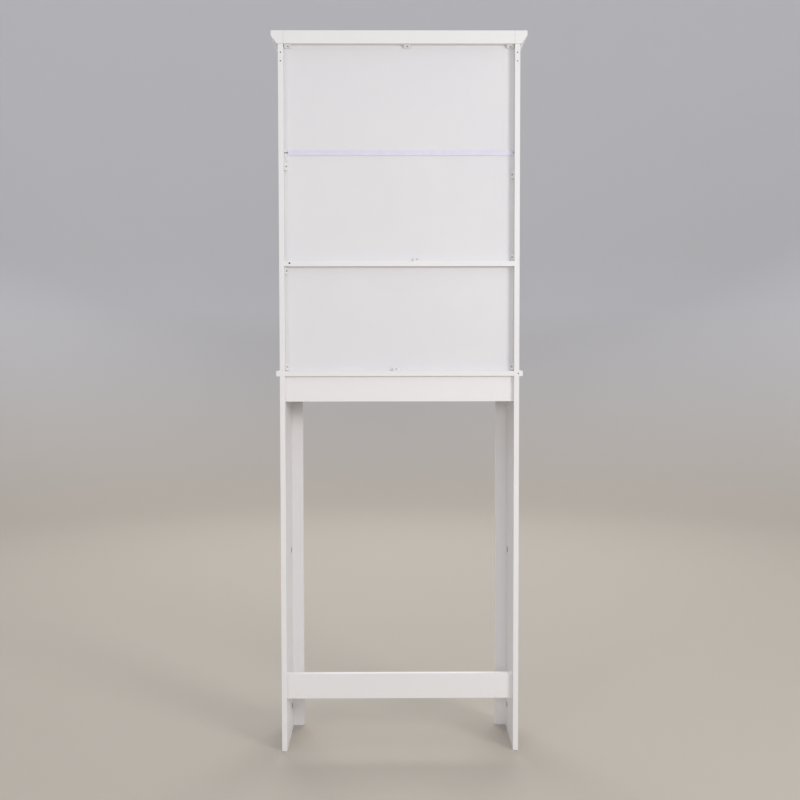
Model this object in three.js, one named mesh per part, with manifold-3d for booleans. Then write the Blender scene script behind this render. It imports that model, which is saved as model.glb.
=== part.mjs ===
// Over-the-toilet storage rack: a flat-pack carcass of thin white boards on two tall legs.
// Millimetres. X runs across the rack, Y from the open front to the wall side, Z up.
// The origin is on the floor, under the middle of the whole outline.
import * as THREE from "three";
import { mergeVertices } from "three/addons/utils/BufferGeometryUtils.js";
import Module from "manifold-3d";

// Driving dimensions
const CROWN_WIDTH = 597;
const OVERALL_DEPTH = 200;
const BODY_WIDTH = 564;
const BOARD = 12; // thickness of every flat board
const BASE_TOP = 908; // top face of the board that the carcass stands on
const BAY = 246; // height of one back panel between its neighbours
const CROWN_HEIGHT = 30;
const CROWN_FILLET = 11; // plain band above the crown's bevel
const CROWN_LIP = 3; // how far the foot of the bevel stands out from the carcass
const BASE_OVERHANG = 8.5;
const APRON_HEIGHT = 60;
const APRON_SETBACK = 8; // of the rear apron, from the legs' rear edges
const RAIL_BOTTOM = 123; // lower rear rail
const RAIL_HEIGHT = 60;
const RAIL_SETBACK = 12; // of the lower rear rail, from the same edges
const STILE_WIDTH = 39;
const GAP = 0.3; // clearance round pieces that fit into cuts
const SEAM = 0.5; // hairline joint under the crown and under the base board

// Back panels
const PANEL = 3;
const PANEL_RECESS = 15; // from the rear edges to the panels' rear faces, less one gap
const GROOVE_DEPTH = 4;
const TONGUE = 3.5; // how far a panel reaches into its groove
const PANEL_LAP = 10; // how far the upper sheet reaches up in front of the crown's rear rail
const JOINER_BAY = 248; // from the middle shelf up to the joiner
const JOINER_HEIGHT = 13;
const JOINER_LENGTH = 528;
const JOINER_OFFSET = -2.7; // it sits a little towards the left side panel
const JOINER_WALL = 1.4;
const JOINER_PLAY = 0.7; // between the joiner's web and a sheet's edge

// Adjustable shelf and its pins
const SHELF_SETBACK = 10;
const SHELF_END_GAP = 2.5;
const SHELF_REAR_GAP = 4.5;
const PIN_SHANK_R = 2.5;
const PIN_PEG_R = 3;
const PIN_COLLAR_R = 4.5;
const PIN_COLLAR = 2;
const PIN_SHANK = 7.5;
const PIN_PEG = 9;
const PIN_PITCH = 32;
const PIN_STEPS = [-2, -1, 0, 1, 2]; // holes above and below the one in use

// Cam locks
const CAM_R = 7.5;
const CAM_THICKNESS = 8;
const CAM_SUNK = 1.2;
const CAM_FROM_EDGE = 34;
const CAM_SLOT = 1.6;
const CAM_SLOT_LENGTH = 9;
const LEG_CAM_HEIGHTS = [63, 457, 851];

// Back-panel wedges and their nails
const WEDGE_LENGTH = 18;
const WEDGE_LEG = 8;
const WEDGE_NOSE = 1.5;
const WEDGE_CHAMFER = 0.8;
const NAIL_R = 0.9;
const NAIL_HEAD_R = 2.2;
const NAIL_HEAD = 1.1;
const NAIL_LENGTH = 10.5;
const NAIL_TILT = THREE.MathUtils.degToRad(20);

// Pilot holes in the rear edges
const PILOT_R = 1.5;
const PILOT_DEPTH = 12;
const ANCHOR_HOLE_HEIGHTS = [1650, 1630]; // for wall brackets
const SHELF_PILOT_R = 2.2;
const SHELF_PILOT_X = 258;
const SHELF_PILOT_DROP = 4.5; // below the shelf's top face
const BASE_PILOT_X = -280;

// Places worked out from the dimensions above
const REAR = OVERALL_DEPTH / 2;
const OVERHANG = (CROWN_WIDTH - BODY_WIDTH) / 2;
const FRONT = -REAR + OVERHANG;
const HALF = BODY_WIDTH / 2;
const INNER = HALF - BOARD;
const LEG_TOP = BASE_TOP - BOARD;
const SHELF_BOTTOM = BASE_TOP + BAY;
const SHELF_TOP = SHELF_BOTTOM + BOARD;
const JOINER_BOTTOM = SHELF_TOP + JOINER_BAY;
const CROWN_BOTTOM = SHELF_TOP + BAY + BOARD + BAY;
const TOP = CROWN_BOTTOM + CROWN_HEIGHT;
const APRON_BOTTOM = LEG_TOP - APRON_HEIGHT;
const RECESS_PLANE = REAR - PANEL_RECESS; // plane just behind the back panels
const PANEL_REAR = RECESS_PLANE - GAP;
const PANEL_FRONT = PANEL_REAR - PANEL;
const STILE_BACK = FRONT + BOARD;
const PIN_HEIGHT = JOINER_BOTTOM - GAP - PIN_PEG_R;
const PIN_DEPTHS = [FRONT + 42, RECESS_PLANE - 42];
const LEFT = -1;
const RIGHT = 1;

const wasm = await Module();
wasm.setup();

// A finish is made anew for each mesh, so that every piece has a material of its own.
const finish = (color, roughness, metalness = 0) => () =>
  new THREE.MeshStandardMaterial({ color, roughness, metalness });
const whiteBoard = finish(0xe8e6e7, 0.55);
const panelPaint = finish(0xe2e0e3, 0.5);
const lilacPlastic = finish(0xdcd9e8, 0.35);
const whitePlastic = finish(0xe4e4e2, 0.4);
const zinc = finish(0x9c9a98, 0.4, 0.9);

const rack = new THREE.Group();

function add(name, geometry, material, parent = rack) {
  const mesh = new THREE.Mesh(geometry, material);
  mesh.name = name;
  parent.add(mesh);
  return mesh;
}

function box(x0, x1, y0, y1, z0, z1) {
  const shape = new THREE.BoxGeometry(x1 - x0, y1 - y0, z1 - z0);
  return shape.translate((x0 + x1) / 2, (y0 + y1) / 2, (z0 + z1) / 2);
}

// A box on one side of the rack, given by its distances out from the middle plane.
function sideBox(side, near, far, y0, y1, z0, z1) {
  return side > 0 ? box(near, far, y0, y1, z0, z1) : box(-far, -near, y0, y1, z0, z1);
}

function toSolid(geometry) {
  const bare = geometry.clone();
  bare.deleteAttribute("normal");
  bare.deleteAttribute("uv");
  const merged = mergeVertices(bare, 1e-4);
  const vertProperties = merged.attributes.position.array;
  const triVerts = new Uint32Array(merged.index.array);
  return new wasm.Manifold(new wasm.Mesh({ numProp: 3, vertProperties, triVerts }));
}

function toGeometry(solid) {
  const { vertProperties, triVerts } = solid.getMesh();
  const geometry = new THREE.BufferGeometry();
  geometry.setAttribute("position", new THREE.BufferAttribute(vertProperties, 3));
  geometry.setIndex(new THREE.BufferAttribute(triVerts, 1));
  const faceted = geometry.toNonIndexed();
  faceted.computeVertexNormals();
  return faceted;
}

function cut(geometry, tools) {
  return toGeometry(tools.reduce((solid, tool) => solid.subtract(toSolid(tool)), toSolid(geometry)));
}

// A round tool from one point along an axis direction.
function rod(radius, from, direction, length, segments = 16) {
  const geometry = new THREE.CylinderGeometry(radius, radius, length, segments);
  geometry.translate(0, length / 2, 0);
  const turn = new THREE.Quaternion().setFromUnitVectors(new THREE.Vector3(0, 1, 0), direction);
  return geometry.applyQuaternion(turn).translate(from.x, from.y, from.z);
}

const along = {
  x: new THREE.Vector3(1, 0, 0),
  y: new THREE.Vector3(0, 1, 0),
  z: new THREE.Vector3(0, 0, 1),
};
const sideName = (side) => (side > 0 ? "right" : "left");

// ---------------------------------------------------------------------------------------------
// Wedges: small plastic blocks in the corner between a back panel and a board, each held by a
// nail. In a wedge's own frame X is its length, Y leads back from the panel and Z out from the
// board. turn rotates that frame about Y: 0 sits on a board, PI hangs under one.
const ON_BOARD = 0;
const UNDER_BOARD = Math.PI;
const ON_RIGHT = -Math.PI / 2;
const ON_LEFT = Math.PI / 2;
const END_WEDGE = WEDGE_LENGTH / 2 + 1; // from a corner to the middle of a wedge that starts there

// Each wedge has the board that takes its nail.
const wedges = [
  ["top_right", "crown_rear_rail", INNER - END_WEDGE, CROWN_BOTTOM, UNDER_BOARD],
  ["top_center", "crown_rear_rail", -19, CROWN_BOTTOM, UNDER_BOARD],
  ["top_left", "crown_rear_rail", END_WEDGE - INNER, CROWN_BOTTOM, UNDER_BOARD],
  ["side_right", "upper_side_panel_right", INNER, 1388, ON_RIGHT],
  ["side_left", "upper_side_panel_left", -INNER, 1369, ON_LEFT],
  ["shelf_center", "middle_shelf", -41, SHELF_TOP, ON_BOARD],
  ["shelf_right", "upper_side_panel_right", INNER, SHELF_BOTTOM - END_WEDGE, ON_RIGHT],
  ["shelf_left", "upper_side_panel_left", -INNER, SHELF_TOP + END_WEDGE, ON_LEFT],
  ["base_center", "base_board", 8, BASE_TOP, ON_BOARD],
  ["base_right", "upper_side_panel_right", INNER, BASE_TOP + END_WEDGE, ON_RIGHT],
  ["base_left", "upper_side_panel_left", -INNER, BASE_TOP + END_WEDGE, ON_LEFT],
].map(([name, into, x, z, turn]) => ({ name, into, x, z, turn }));

const nailWay = new THREE.Vector3(0, -Math.sin(NAIL_TILT), -Math.cos(NAIL_TILT));
const nailSeat = new THREE.Vector3(0, WEDGE_LEG / 2, WEDGE_LEG / 2); // middle of the sloping face

function seatOffset(distance) {
  return nailSeat.clone().addScaledVector(nailWay, distance);
}

// The rod in the wedge's frame that a board loses to the nail.
function nailHole() {
  return rod(NAIL_R + GAP, seatOffset(0), nailWay, NAIL_LENGTH + GAP + NAIL_HEAD, 12);
}

function wedgeGeometry() {
  const section = new THREE.Shape();
  section.moveTo(0, GAP);
  section.lineTo(WEDGE_LEG, GAP);
  section.lineTo(WEDGE_LEG, WEDGE_NOSE);
  section.lineTo(WEDGE_NOSE, WEDGE_LEG);
  section.lineTo(0, WEDGE_LEG);
  section.closePath();
  const block = new THREE.ExtrudeGeometry(section, {
    depth: WEDGE_LENGTH - 2 * WEDGE_CHAMFER,
    bevelThickness: WEDGE_CHAMFER,
    bevelSize: WEDGE_CHAMFER,
    bevelOffset: -WEDGE_CHAMFER,
    bevelSegments: 1,
  });
  // The section is drawn in the extrusion's X and Y, which become the wedge's Y and Z.
  block.translate(0, 0, WEDGE_CHAMFER - WEDGE_LENGTH / 2);
  block.applyMatrix4(new THREE.Matrix4().makeBasis(along.y, along.z, along.x));
  const outwards = nailWay.clone().negate();
  const counterbore = rod(NAIL_HEAD_R + GAP, seatOffset(NAIL_HEAD + GAP), outwards, WEDGE_LEG);
  return cut(block, [nailHole(), counterbore]);
}

function nailGeometry() {
  const profile = [
    new THREE.Vector2(0, 0),
    new THREE.Vector2(NAIL_HEAD_R * 0.7, 0),
    new THREE.Vector2(NAIL_HEAD_R, NAIL_HEAD * 0.4),
    new THREE.Vector2(NAIL_HEAD_R, NAIL_HEAD),
    new THREE.Vector2(NAIL_R, NAIL_HEAD),
    new THREE.Vector2(NAIL_R, NAIL_LENGTH - 1.5),
    new THREE.Vector2(0, NAIL_LENGTH),
  ];
  const nail = new THREE.LatheGeometry(profile, 14);
  nail.applyQuaternion(new THREE.Quaternion().setFromUnitVectors(along.y, nailWay));
  return nail.translate(nailSeat.x, nailSeat.y, nailSeat.z);
}

// The nail holes that one board holds, in the rack's frame.
function nailHolesIn(board) {
  return wedges
    .filter((wedge) => wedge.into === board)
    .map((wedge) => nailHole().rotateY(wedge.turn).translate(wedge.x, RECESS_PLANE, wedge.z));
}

// ---------------------------------------------------------------------------------------------
// Cam locks: round inserts sunk just below a board's face. out is the face's outward normal.
function camGeometry() {
  const disc = new THREE.CylinderGeometry(CAM_R, CAM_R, CAM_THICKNESS, 28);
  disc.translate(0, -CAM_THICKNESS / 2 - CAM_SUNK, 0);
  const slot = box(-CAM_SLOT_LENGTH / 2, CAM_SLOT_LENGTH / 2, -2 - CAM_SUNK, 1, -CAM_SLOT / 2, CAM_SLOT / 2);
  return cut(disc, [slot, slot.clone().rotateY(Math.PI / 2)]);
}

function camPocket(at, out) {
  const inwards = out.clone().negate();
  const start = at.clone().addScaledVector(out, 1);
  return rod(CAM_R + GAP, start, inwards, CAM_THICKNESS + CAM_SUNK + 1 + GAP, 28);
}

function addCam(name, at, out) {
  const holder = new THREE.Group();
  holder.position.copy(at);
  holder.quaternion.setFromUnitVectors(along.y, out);
  add(name, camGeometry(), zinc(), holder);
  rack.add(holder);
}

// ---------------------------------------------------------------------------------------------
// Legs: a deep side panel, a stile over its front edge, and the cam locks that hold the stile.

for (const side of [LEFT, RIGHT]) {
  const end = sideName(side);
  const inwards = along.x.clone().multiplyScalar(-side);
  const camPlaces = LEG_CAM_HEIGHTS.map(
    (height) => new THREE.Vector3(side * INNER, STILE_BACK + CAM_FROM_EDGE, height),
  );
  const legPanel = sideBox(side, INNER, HALF, STILE_BACK, REAR, 0, LEG_TOP);
  add(`leg_panel_${end}`, cut(legPanel, camPlaces.map((at) => camPocket(at, inwards))), whiteBoard());
  const stile = sideBox(side, HALF - STILE_WIDTH, HALF, FRONT, STILE_BACK, 0, LEG_TOP);
  add(`leg_stile_${end}`, stile, whiteBoard());
  camPlaces.forEach((at, i) => addCam(`leg_cam_${end}_${["low", "mid", "high"][i]}`, at, inwards));
}

const stileInner = HALF - STILE_WIDTH;
add("front_apron", box(-stileInner, stileInner, FRONT, STILE_BACK, APRON_BOTTOM, LEG_TOP), whiteBoard());
const apronRear = REAR - APRON_SETBACK;
add(
  "rear_apron",
  box(-INNER, INNER, apronRear - BOARD, apronRear, APRON_BOTTOM, LEG_TOP - SEAM),
  whiteBoard(),
);
const railRear = REAR - RAIL_SETBACK;
add(
  "lower_rear_rail",
  box(-INNER, INNER, railRear - BOARD, railRear, RAIL_BOTTOM, RAIL_BOTTOM + RAIL_HEIGHT),
  whiteBoard(),
);

// ---------------------------------------------------------------------------------------------
// Carcass: base board, side panels and middle shelf, grooved for the back panels.
const grooveEnd = INNER + GROOVE_DEPTH;
const grooveFront = PANEL_FRONT - GAP;
const forwards = along.y.clone().negate();
const pilot = (x, z, radius = PILOT_R) =>
  rod(radius, new THREE.Vector3(x, REAR + 1, z), forwards, PILOT_DEPTH + 1, 12);

const baseHalf = HALF + BASE_OVERHANG;
add(
  "base_board",
  cut(box(-baseHalf, baseHalf, FRONT - BASE_OVERHANG, REAR, LEG_TOP, BASE_TOP), [
    box(-grooveEnd, grooveEnd, grooveFront, RECESS_PLANE, BASE_TOP - GROOVE_DEPTH, BASE_TOP + 1),
    pilot(BASE_PILOT_X, (LEG_TOP + BASE_TOP) / 2),
    ...nailHolesIn("base_board"),
  ]),
  whiteBoard(),
);

const shelfCams = [LEFT, RIGHT].flatMap((side) =>
  PIN_DEPTHS.map((y) => new THREE.Vector3(side * (INNER - CAM_FROM_EDGE), y, SHELF_BOTTOM)),
);
const down = along.z.clone().negate();
add(
  "middle_shelf",
  cut(box(-INNER, INNER, FRONT, REAR, SHELF_BOTTOM, SHELF_TOP), [
    box(-HALF, HALF, grooveFront, RECESS_PLANE, SHELF_TOP - GROOVE_DEPTH, SHELF_TOP + 1),
    box(-HALF, HALF, grooveFront, RECESS_PLANE, SHELF_BOTTOM - 1, SHELF_BOTTOM + GROOVE_DEPTH),
    pilot(SHELF_PILOT_X, SHELF_TOP - SHELF_PILOT_DROP, SHELF_PILOT_R),
    ...shelfCams.map((at) => camPocket(at, down)),
    ...nailHolesIn("middle_shelf"),
  ]),
  whiteBoard(),
);
shelfCams.forEach((at, i) => {
  addCam(`shelf_cam_${sideName(at.x)}_${i % 2 ? "rear" : "front"}`, at, down);
});

for (const side of [LEFT, RIGHT]) {
  const name = `upper_side_panel_${sideName(side)}`;
  const outwards = along.x.clone().multiplyScalar(side);
  const pinHoles = PIN_DEPTHS.flatMap((y) =>
    PIN_STEPS.map((step) => {
      const mouth = new THREE.Vector3(side * (INNER - 1), y, PIN_HEIGHT + step * PIN_PITCH);
      return rod(PIN_SHANK_R + GAP, mouth, outwards, PIN_SHANK + 1 + GAP);
    }),
  );
  add(
    name,
    cut(sideBox(side, INNER, HALF, FRONT, REAR, BASE_TOP, CROWN_BOTTOM - SEAM), [
      sideBox(side, INNER - 1, grooveEnd, grooveFront, RECESS_PLANE, BASE_TOP - 1, CROWN_BOTTOM + 1),
      ...pinHoles,
      ...ANCHOR_HOLE_HEIGHTS.map((z) => pilot(side * (INNER + HALF) / 2, z)),
      ...nailHolesIn(name),
    ]),
    whiteBoard(),
  );
}

// ---------------------------------------------------------------------------------------------
// Back panels: three thin sheets in the grooves. The upper two meet in an H-section joiner.
const panelHalf = INNER + TONGUE;
const joinerMiddle = JOINER_BOTTOM + JOINER_HEIGHT / 2;
const joinerSeat = JOINER_WALL / 2 + JOINER_PLAY;
const backPanel = (z0, z1) => box(-panelHalf, panelHalf, PANEL_FRONT, PANEL_REAR, z0, z1);
add("back_panel_lower", backPanel(BASE_TOP - TONGUE, SHELF_BOTTOM + TONGUE), panelPaint());
add("back_panel_middle", backPanel(SHELF_TOP - TONGUE, joinerMiddle - joinerSeat), panelPaint());

// The upper sheet laps the crown's rear rail, so its top corners are notched for the mouldings.
const lapTop = CROWN_BOTTOM + PANEL_LAP;
const notches = [LEFT, RIGHT].map((side) =>
  sideBox(side, INNER - 2 * GAP, HALF, PANEL_FRONT - 1, PANEL_REAR + 1, CROWN_BOTTOM - GAP, lapTop + 1),
);
add("back_panel_upper", cut(backPanel(joinerMiddle + joinerSeat, lapTop), notches), panelPaint());

function joinerGeometry() {
  const wallInner = PANEL / 2 + GAP;
  const wallOuter = wallInner + JOINER_WALL;
  const web = JOINER_WALL / 2;
  const reach = JOINER_HEIGHT / 2;
  const corners = [
    [-wallOuter, -reach],
    [-wallInner, -reach],
    [-wallInner, -web],
    [wallInner, -web],
    [wallInner, -reach],
    [wallOuter, -reach],
    [wallOuter, reach],
    [wallInner, reach],
    [wallInner, web],
    [-wallInner, web],
    [-wallInner, reach],
    [-wallOuter, reach],
  ];
  const section = new THREE.Shape(corners.map(([y, z]) => new THREE.Vector2(y, z)));
  const bar = new THREE.ExtrudeGeometry(section, { depth: JOINER_LENGTH, bevelEnabled: false });
  bar.translate(0, 0, -JOINER_LENGTH / 2);
  return bar.applyMatrix4(new THREE.Matrix4().makeBasis(along.y, along.z, along.x));
}
const joiner = add("back_panel_joiner", joinerGeometry(), lilacPlastic());
joiner.position.set(JOINER_OFFSET, (PANEL_FRONT + PANEL_REAR) / 2, joinerMiddle);

// ---------------------------------------------------------------------------------------------
// Crown: bevelled mouldings mitred at the front corners, a rear rail and the top panel.
const mouldingWidth = OVERHANG + BOARD;

// A moulding that runs along X with its inner face at Y = 0 and its bevel towards -Y. Each end
// is mitred at 45 degrees or square: a mitred end grows outwards as far as the face stands out.
function mouldingGeometry(length, mitreStart, mitreEnd) {
  const section = new THREE.Shape();
  section.moveTo(0, 0);
  section.lineTo(-(BOARD + CROWN_LIP), 0);
  section.lineTo(-mouldingWidth, CROWN_HEIGHT - CROWN_FILLET);
  section.lineTo(-mouldingWidth, CROWN_HEIGHT);
  section.lineTo(0, CROWN_HEIGHT);
  section.closePath();
  const bar = new THREE.ExtrudeGeometry(section, { depth: length, bevelEnabled: false });
  bar.translate(0, 0, -length / 2);
  bar.applyMatrix4(new THREE.Matrix4().makeBasis(along.y, along.z, along.x));
  const position = bar.attributes.position;
  for (let i = 0; i < position.count; i++) {
    const x = position.getX(i);
    const mitred = x < 0 ? mitreStart : mitreEnd;
    if (mitred) position.setX(i, x + Math.sign(x) * (-position.getY(i) - GAP / 2));
  }
  return bar;
}

const crown = new THREE.Group();
crown.position.z = CROWN_BOTTOM;
rack.add(crown);

const mouldingInnerY = FRONT + BOARD;
const front = add("crown_front", mouldingGeometry(2 * INNER, true, true), whiteBoard(), crown);
front.position.y = mouldingInnerY;
const sideLength = REAR - mouldingInnerY;
for (const side of [LEFT, RIGHT]) {
  const moulding = mouldingGeometry(sideLength, side > 0, side < 0);
  // Turned so that the bevel faces out; the mitred end is then the front one.
  moulding.rotateZ(side * (Math.PI / 2));
  const mesh = add(`crown_side_${sideName(side)}`, moulding, whiteBoard(), crown);
  mesh.position.set(side * INNER, mouldingInnerY + sideLength / 2, 0);
}
const crownInner = INNER - GAP;
const rearRail = box(-crownInner, crownInner, RECESS_PLANE, REAR, CROWN_BOTTOM, TOP);
add("crown_rear_rail", cut(rearRail, nailHolesIn("crown_rear_rail")), whiteBoard());
add(
  "top_panel",
  box(-crownInner, crownInner, mouldingInnerY + GAP, RECESS_PLANE - GAP, TOP - BOARD, TOP),
  whiteBoard(),
);

// ---------------------------------------------------------------------------------------------
// Adjustable shelf on four pins, level with the joiner so that it hides it from the front.
const shelfHalf = INNER - SHELF_END_GAP;
const adjustableShelf = box(
  -shelfHalf,
  shelfHalf,
  FRONT + SHELF_SETBACK,
  RECESS_PLANE - PANEL - SHELF_REAR_GAP,
  JOINER_BOTTOM,
  JOINER_BOTTOM + BOARD,
);
add("adjustable_shelf", adjustableShelf, whiteBoard());

function pinGeometry() {
  const profile = [
    new THREE.Vector2(0, -PIN_SHANK),
    new THREE.Vector2(PIN_SHANK_R - 0.5, -PIN_SHANK),
    new THREE.Vector2(PIN_SHANK_R, -PIN_SHANK + 0.5),
    new THREE.Vector2(PIN_SHANK_R, 0),
    new THREE.Vector2(PIN_COLLAR_R, 0),
    new THREE.Vector2(PIN_COLLAR_R, PIN_COLLAR),
    new THREE.Vector2(PIN_PEG_R, PIN_COLLAR),
    new THREE.Vector2(PIN_PEG_R, PIN_PEG - 0.8),
    new THREE.Vector2(PIN_PEG_R - 0.8, PIN_PEG),
    new THREE.Vector2(0, PIN_PEG),
  ];
  return new THREE.LatheGeometry(profile, 20);
}

for (const side of [LEFT, RIGHT]) {
  PIN_DEPTHS.forEach((y, i) => {
    const pin = add(`shelf_pin_${sideName(side)}_${i ? "rear" : "front"}`, pinGeometry(), zinc());
    pin.position.set(side * INNER, y, PIN_HEIGHT);
    pin.rotation.z = side * (Math.PI / 2);
  });
}

// ---------------------------------------------------------------------------------------------
// The wedges and nails themselves.
for (const { name, x, z, turn } of wedges) {
  const place = new THREE.Group();
  place.position.set(x, RECESS_PLANE, z);
  place.rotation.y = turn;
  add(`wedge_${name}`, wedgeGeometry(), whitePlastic(), place);
  add(`nail_${name}`, nailGeometry(), zinc(), place);
  rack.add(place);
}

export default rack;
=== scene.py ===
import math

import bpy
from mathutils import Matrix, Vector


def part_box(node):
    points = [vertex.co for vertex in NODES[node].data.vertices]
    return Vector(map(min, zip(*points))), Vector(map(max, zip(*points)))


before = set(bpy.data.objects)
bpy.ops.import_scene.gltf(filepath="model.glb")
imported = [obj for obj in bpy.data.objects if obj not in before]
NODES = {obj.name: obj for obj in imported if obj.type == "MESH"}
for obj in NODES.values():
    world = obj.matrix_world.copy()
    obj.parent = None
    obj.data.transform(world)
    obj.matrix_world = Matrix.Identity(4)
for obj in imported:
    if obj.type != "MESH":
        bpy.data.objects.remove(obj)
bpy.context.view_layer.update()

# Sizes are in metres and angles in degrees.

# Board white and its shade. Boards with open bores show the colour of their core in them: their
# white skin reaches in this far from a face and from an edge.
MELAMINE = ((0.812, 0.803, 0.806), (0.792, 0.783, 0.788))
DRILLED_BOARDS = ("leg_panel", "upper_side_panel", "middle_shelf", "base_board")
RAW_CORE = (0.17, 0.115, 0.075)
FACE_SKIN = 0.00015
EDGE_SKIN = 0.0007

# The camera stands behind the rack, on the wall side, and looks along -Y.
CAMERA_PLACE = Vector((0.0184, 2.6, 0.9766))
CAMERA_TILT = 2.443
CAMERA_PAN = 0.44
CAMERA_ROLL = -0.081
CAMERA_LENS_MM = 47.77
SENSOR_MM = 36.0
CAMERA_SHIFT_Y = -0.016

# Soft boxes: azimuth from the wall side towards -X, elevation, distance, width, height, watts, colour
AIM = Vector((0.0, 0.0, 1.0))
SOFT_BOXES = [
    ("key_box", 43.0, 10.5, 3.3, 1.0, 0.7, 40.5, (1.0, 0.99, 0.985)),
    ("middle_box", 3.0, 7.0, 4.0, 1.0, 0.8, 15.5, (1.0, 0.99, 0.985)),
    ("fill_box", -28.0, 3.0, 4.0, 1.2, 0.9, 17.0, (1.0, 0.99, 0.985)),
    ("front_box", 180.0, 36.0, 4.0, 3.6, 2.4, 92.0, (1.0, 0.99, 0.98)),
]
WORLD_COLOUR = (0.97, 0.98, 1.0)
WORLD_STRENGTH = 0.77

# The backdrop: a floor that curves up into a wall, and the height at which its paint turns cool
FLOOR_RADIUS = 3.6
BOWL_RADIUS = 5.2
BOWL_HEIGHT = 4.2
BOWL_TURNS = 96
CURVE_RINGS = 14
FLOOR_COLOUR = (0.45, 0.41, 0.36)
WALL_COLOUR = (0.66, 0.665, 0.70)
PAINT_FADE = 1.2


# ------------------------------------------------------------------------------------ materials
class Shader:
    """A principled material whose nodes are added one call at a time."""

    def __init__(self, name, colour, roughness, **sockets):
        self.material = bpy.data.materials.new(name)
        self.material.use_nodes = True
        self.tree = self.material.node_tree
        self.bsdf = self.tree.nodes["Principled BSDF"]
        self.bsdf.inputs["Base Color"].default_value = (*colour, 1.0)
        self.bsdf.inputs["Roughness"].default_value = roughness
        for socket, value in sockets.items():
            self.bsdf.inputs[socket.replace("_", " ")].default_value = value
        self.coords = self.tree.nodes.new("ShaderNodeTexCoord").outputs["Object"]

    def node(self, kind, **settings):
        made = self.tree.nodes.new(kind)
        for key, value in settings.items():
            if hasattr(made, key):
                setattr(made, key, value)
            else:
                made.inputs[key.replace("_", " ")].default_value = value
        return made

    def link(self, output, target):
        self.tree.links.new(output, target)

    def stretched(self, scale):
        """Object coordinates, stretched along each axis."""
        mapping = self.node("ShaderNodeMapping")
        mapping.inputs["Scale"].default_value = scale
        self.link(self.coords, mapping.inputs["Vector"])
        return mapping.outputs["Vector"]

    def noise(self, scale, detail=3.0, roughness=0.5, vector=None):
        made = self.node("ShaderNodeTexNoise", Scale=scale, Detail=detail, Roughness=roughness)
        self.link(vector or self.coords, made.inputs["Vector"])
        return made.outputs["Fac"]

    def mapped(self, value, low, high, low_out, high_out):
        made = self.node(
            "ShaderNodeMapRange", From_Min=low, From_Max=high, To_Min=low_out, To_Max=high_out
        )
        self.link(value, made.inputs["Value"])
        return made.outputs["Result"]

    def mixed(self, factor, first, second):
        """Mix of two colours, each a constant or another node's output."""
        made = self.node("ShaderNodeMix", data_type="RGBA")
        self.link(factor, made.inputs["Factor"])
        for socket, colour in ((made.inputs[6], first), (made.inputs[7], second)):
            if isinstance(colour, tuple):
                socket.default_value = (*colour, 1.0)
            else:
                self.link(colour, socket)
        return made.outputs[2]

    def inside(self, low, high):
        """1 on surfaces inside the box of a board, 0 on its faces and edges.

        The faces are the two across the board's thickness, its shortest side.
        """
        half = (high - low) / 2
        skins = [FACE_SKIN if h == min(half) else EDGE_SKIN for h in half]
        vector = self.coords
        for operation, operand in (
            ("SUBTRACT", (high + low) / 2),
            ("ABSOLUTE", None),
            ("SUBTRACT", half - Vector(skins)),
        ):
            step = self.node("ShaderNodeVectorMath", operation=operation)
            self.link(vector, step.inputs[0])
            if operand is not None:
                step.inputs[1].default_value = operand
            vector = step.outputs["Vector"]
        split = self.node("ShaderNodeSeparateXYZ")
        self.link(vector, split.inputs["Vector"])
        deepest = split.outputs["X"]
        for axis in ("Y", "Z"):
            larger = self.node("ShaderNodeMath", operation="MAXIMUM")
            self.link(deepest, larger.inputs[0])
            self.link(split.outputs[axis], larger.inputs[1])
            deepest = larger.outputs["Value"]
        below = self.node("ShaderNodeMath", operation="LESS_THAN")
        self.link(deepest, below.inputs[0])
        below.inputs[1].default_value = 0.0
        return below.outputs["Value"]

    def bump(self, height, strength, distance, under=None):
        made = self.node("ShaderNodeBump", Strength=strength, Distance=distance)
        self.link(height, made.inputs["Height"])
        if under:
            self.link(under, made.inputs["Normal"])
        self.link(made.outputs["Normal"], self.bsdf.inputs["Normal"])
        return made.outputs["Normal"]

    def colour_from(self, output):
        self.link(output, self.bsdf.inputs["Base Color"])

    def roughness_from(self, output):
        self.link(output, self.bsdf.inputs["Roughness"])


def board_material(name, colour, shade, box=None):
    """Melamine-faced board: satin white with a fine pebble and faint rub marks.

    With its box given, the walls of its bores and grooves show the raw core.
    """
    m = Shader(name, colour, 0.5, Coat_Weight=0.08, Coat_Roughness=0.35)
    clouds = m.noise(2.2, detail=4.0)
    face = m.mixed(m.mapped(clouds, 0.35, 0.65, 0.0, 1.0), colour, shade)
    m.colour_from(m.mixed(m.inside(*box), face, RAW_CORE) if box else face)
    rubs = m.noise(14.0, detail=5.0, roughness=0.65)
    m.roughness_from(m.mapped(rubs, 0.3, 0.7, 0.42, 0.56))
    wave = m.bump(m.noise(5.0, detail=2.0), 0.25, 0.0006)
    m.bump(m.noise(1400.0, detail=2.0), 0.18, 0.00006, under=wave)
    return m.material


def sheet_material(name, colour, shade):
    """Painted hardboard: a little flatter than the boards, gently uneven, with fine fibres."""
    m = Shader(name, colour, 0.48)
    clouds = m.noise(3.5, detail=5.0, roughness=0.6)
    m.colour_from(m.mixed(m.mapped(clouds, 0.35, 0.7, 0.0, 1.0), colour, shade))
    m.roughness_from(m.mapped(m.noise(22.0, detail=4.0), 0.3, 0.7, 0.4, 0.55))
    wave = m.bump(m.noise(3.0, detail=1.0), 0.35, 0.0012)
    fibres = m.noise(240.0, detail=4.0, roughness=0.6, vector=m.stretched((1.0, 1.0, 4.0)))
    m.bump(fibres, 0.15, 0.0001, under=wave)
    return m.material


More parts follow.
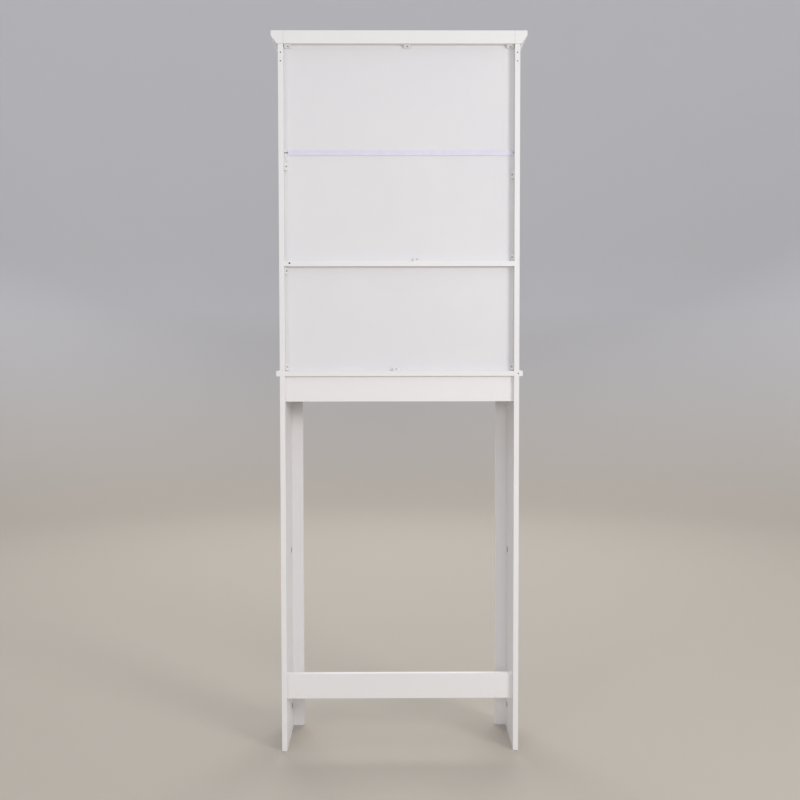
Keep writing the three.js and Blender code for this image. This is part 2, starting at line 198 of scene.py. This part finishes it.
def plastic_material(name, colour, shade, roughness, **sockets):
    m = Shader(name, colour, roughness, **sockets)
    m.colour_from(m.mixed(m.mapped(m.noise(60.0), 0.35, 0.65, 0.0, 1.0), colour, shade))
    m.roughness_from(m.mapped(m.noise(180.0), 0.3, 0.7, roughness - 0.06, roughness + 0.08))
    m.bump(m.noise(900.0), 0.15, 0.00008)
    return m.material


def metal_material(name, colour, shade, roughness):
    """Plated steel: spangled tone with fine turning marks."""
    m = Shader(name, colour, roughness, Metallic=1.0)
    spangle = m.noise(500.0, detail=4.0, roughness=0.7)
    m.colour_from(m.mixed(m.mapped(spangle, 0.3, 0.7, 0.0, 1.0), colour, shade))
    m.roughness_from(m.mapped(m.noise(900.0), 0.3, 0.7, roughness - 0.08, roughness + 0.12))
    m.bump(m.noise(2500.0), 0.2, 0.00005)
    return m.material


MATERIALS = {
    "board": board_material("white_melamine", *MELAMINE),
    "sheet": sheet_material("white_hardboard", (0.748, 0.74, 0.758), (0.724, 0.718, 0.742)),
    "joiner": plastic_material("lilac_strip", (0.712, 0.698, 0.805), (0.684, 0.672, 0.78), 0.32),
    "clip": plastic_material("clip_plastic", (0.79, 0.78, 0.775), (0.76, 0.75, 0.745), 0.4),
    "zinc": metal_material("dull_zinc", (0.42, 0.41, 0.40), (0.30, 0.30, 0.30), 0.38),
    "nickel": metal_material("nickel_plate", (0.62, 0.60, 0.56), (0.52, 0.50, 0.47), 0.24),
}


def finish_of(name):
    """Key of a CAD node's material."""
    if name == "back_panel_joiner":
        return "joiner"
    if name.startswith("back_panel"):
        return "sheet"
    if name.startswith("wedge"):
        return "clip"
    if name.startswith("nail") or "_cam_" in name:
        return "zinc"
    if name.startswith("shelf_pin"):
        return "nickel"
    return "board"


def dress(node):
    """Gives a CAD node its material. A drilled board gets its own, made to the board's box."""
    if node.name.startswith(DRILLED_BOARDS):
        material = board_material(f"white_melamine_{node.name}", *MELAMINE, box=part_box(node.name))
    else:
        material = MATERIALS[finish_of(node.name)]
    node.data.materials.clear()
    node.data.materials.append(material)


for cad_node in NODES.values():
    dress(cad_node)


# ------------------------------------------------------------------------------------- stage
def stage_material():
    """Matt paint: warm and pale on the floor, cooler towards the top."""
    m = Shader("backdrop_paint", FLOOR_COLOUR, 0.9)
    split = m.node("ShaderNodeSeparateXYZ")
    m.link(m.coords, split.inputs["Vector"])
    height = m.mapped(split.outputs["Z"], 0.0, PAINT_FADE, 0.0, 1.0)
    m.colour_from(m.mixed(height, FLOOR_COLOUR, WALL_COLOUR))
    return m.material


def backdrop():
    """A round floor that curves up into a wall on every side."""
    profile = [(0.0, 0.0), (FLOOR_RADIUS, 0.0)]
    sweep = BOWL_RADIUS - FLOOR_RADIUS
    for i in range(1, CURVE_RINGS + 1):
        angle = math.pi / 2 * i / CURVE_RINGS
        profile.append((FLOOR_RADIUS + sweep * math.sin(angle), sweep * (1 - math.cos(angle))))
    profile.append((BOWL_RADIUS, BOWL_HEIGHT))
    vertices = [(0.0, 0.0, 0.0)]
    for radius, height in profile[1:]:
        for k in range(BOWL_TURNS):
            turn = 2 * math.pi * k / BOWL_TURNS
            vertices.append((radius * math.cos(turn), radius * math.sin(turn), height))
    faces = [(0, 1 + k, 1 + (k + 1) % BOWL_TURNS) for k in range(BOWL_TURNS)]
    for ring in range(len(profile) - 2):
        inner = 1 + ring * BOWL_TURNS
        outer = inner + BOWL_TURNS
        for k in range(BOWL_TURNS):
            after = (k + 1) % BOWL_TURNS
            faces.append((inner + k, outer + k, outer + after, inner + after))
    mesh = bpy.data.meshes.new("backdrop")
    mesh.from_pydata(vertices, [], faces)
    mesh.shade_smooth()
    mesh.materials.append(stage_material())
    bowl = bpy.data.objects.new("backdrop", mesh)
    bpy.context.scene.collection.objects.link(bowl)


def soft_box(name, azimuth, elevation, distance, width, height, watts, colour):
    a, e = math.radians(azimuth), math.radians(elevation)
    away = Vector((-math.sin(a) * math.cos(e), math.cos(a) * math.cos(e), math.sin(e)))
    data = bpy.data.lights.new(name, "AREA")
    data.shape = "RECTANGLE"
    data.size, data.size_y = width, height
    data.energy = watts
    data.color = colour
    lamp = bpy.data.objects.new(name, data)
    lamp.location = AIM + away * distance
    lamp.rotation_mode = "QUATERNION"
    lamp.rotation_quaternion = away.to_track_quat("Z", "Y")
    lamp.visible_camera = False
    bpy.context.scene.collection.objects.link(lamp)


def camera():
    data = bpy.data.cameras.new("photo_view")
    data.sensor_width = SENSOR_MM
    data.lens = CAMERA_LENS_MM
    data.shift_y = CAMERA_SHIFT_Y
    eye = bpy.data.objects.new("photo_view", data)
    forwards = Matrix.Rotation(math.radians(180.0 - CAMERA_PAN), 4, "Z")
    level = Matrix.Rotation(math.radians(90.0 - CAMERA_TILT), 4, "X")
    roll = Matrix.Rotation(math.radians(CAMERA_ROLL), 4, "Z")
    eye.matrix_world = Matrix.Translation(CAMERA_PLACE) @ forwards @ level @ roll
    bpy.context.scene.collection.objects.link(eye)
    bpy.context.scene.camera = eye


world = bpy.data.worlds.new("studio")
world.use_nodes = True
sky = world.node_tree.nodes["Background"]
sky.inputs["Color"].default_value = (*WORLD_COLOUR, 1.0)
sky.inputs["Strength"].default_value = WORLD_STRENGTH
bpy.context.scene.world = world
bpy.context.scene.view_settings.view_transform = "Standard"

backdrop()
for box in SOFT_BOXES:
    soft_box(*box)
camera()
